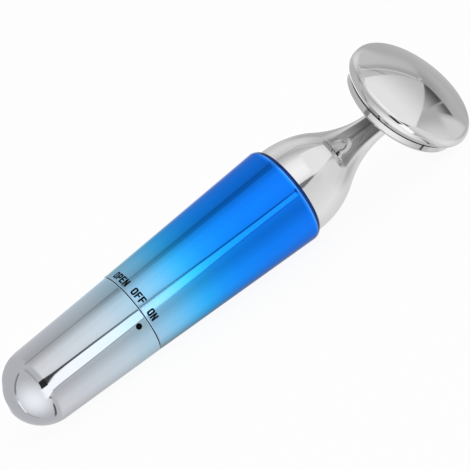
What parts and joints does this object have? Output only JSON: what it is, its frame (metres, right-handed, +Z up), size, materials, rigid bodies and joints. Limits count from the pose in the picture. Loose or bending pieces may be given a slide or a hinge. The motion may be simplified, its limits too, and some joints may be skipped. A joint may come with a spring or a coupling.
{
  "type": "eye massager wand",
  "caption": "Slim wand with a round heated massage face on a bent neck, a twist cap that switches it and a vibration motor and battery inside the barrel.",
  "frame": {"origin": "centre of the bounding box's base", "axes": "The wand lies as it rests on a table, on its tail cap, its barrel's rim and its head's edge. +X from the tail cap to the head, with the handle rising 2.4 degrees, +Z up, Y across. The massage face looks forward and to -Y"},
  "size_m": [0.1586, 0.0324, 0.036],
  "materials": {
    "cap_plating": "silver chrome plated plastic",
    "barrel_plating": "mirror plating that fades from silver blue at the seam to royal blue",
    "neck_plating": "bright chrome plated plastic",
    "dome_metal": "mirror polished",
    "black_plastic": "fine matt moulding",
    "chassis_plastic": "matt natural moulding",
    "contact_metal": "nickel plated strip",
    "bush_bronze": "sintered bronze and copper",
    "spring_steel": "drawn wire",
    "seal_rubber": "smooth nitrile",
    "sleeve_rubber": "matt foam rubber",
    "cell_label": "plain printed film on the can",
    "cell_metal": "nickel plated",
    "board_laminate": "green solder mask on glass laminate",
    "chip_plastic": "matt moulded package",
    "coil_copper": "enamelled wire",
    "capacitor_skin": "film sleeved can",
    "resistor_ceramic": "glazed ceramic",
    "screw_steel": "zinc plated",
    "motor_steel": "drawn and plated",
    "weight_metal": "sintered heavy alloy",
    "pad_silicone": "soft silicone",
    "heater_ceramic": "fired ceramic",
    "clamp_plate": "glass filled sheet",
    "lead_jacket": "coloured insulation"
  },
  "bodies": {
    "handle": {"barrel": "barrel_plating", "battery_tube": "chassis_plastic", "negative_strip": "contact_metal", "positive_contact": "contact_metal", "contact_rivet": "contact_metal", "board_tray": "chassis_plastic", "circuit_board": "board_laminate", "controller_chip": "chip_plastic", "boost_coil": "coil_copper", "filter_capacitor": "capacitor_skin", "power_transistor": "chip_plastic", "chip_resistors": "resistor_ceramic", "chassis_screws": "screw_steel", "cradle_screws": "screw_steel", "motor_cradle": "chassis_plastic", "motor_sleeve": "sleeve_rubber", "motor_can": "motor_steel", "motor_end_cap": "black_plastic", "motor_terminals": "contact_metal", "motor_magnets": "motor_steel", "motor_bush": "bush_bronze", "neck_shell": "neck_plating", "head_base": "neck_plating", "head_gasket": "seal_rubber", "head_dome": "dome_metal", "thermal_pad": "pad_silicone", "heater_disc": "heater_ceramic", "heater_insulator": "pad_silicone", "heater_clamp": "clamp_plate", "clamp_screws": "screw_steel", "thermistor": "heater_ceramic", "positive_lead": "lead_jacket", "negative_lead": "lead_jacket", "motor_leads": "lead_jacket", "heater_leads": "lead_jacket", "sensor_lead": "lead_jacket"},
    "seal": {"seal_ring": "seal_rubber"},
    "cap": {"tail_cap": "cap_plating", "cap_liner": "black_plastic", "spring_seat": "black_plastic", "cap_contact": "contact_metal", "cap_spring": "spring_steel"},
    "cell": {"cell_can": "cell_label", "cell_nub": "cell_metal"},
    "rotor": {"motor_shaft": "motor_steel", "motor_armature": "motor_steel", "motor_commutator": "bush_bronze", "eccentric_weight": "weight_metal"}
  },
  "joints": [
    {"name": "cap_twist", "type": "hinge", "parent": "handle", "child": "seal", "pos_m": [-0.03723, 0.00147, 0.01254], "axis": [0.9991, 0, 0.0415], "range_deg": [-65, 0]},
    {"name": "cap_pull", "type": "slide", "parent": "seal", "child": "cap", "axis": [-0.9991, 0, -0.0415], "range_m": [0, 0.09]},
    {"name": "cell_slide", "type": "slide", "parent": "handle", "child": "cell", "axis": [-0.9991, 0, -0.0415], "range_m": [0, 0.045]},
    {"name": "rotor_spin", "type": "hinge", "parent": "handle", "child": "rotor", "pos_m": [0.02933, 0.00147, 0.0153], "axis": [0.9991, 0, 0.0415], "continuous": true}
  ],
  "couplings": [
    {"joint": "cell_slide", "follows": "cap_pull", "ratio": 0.5}
  ]
}
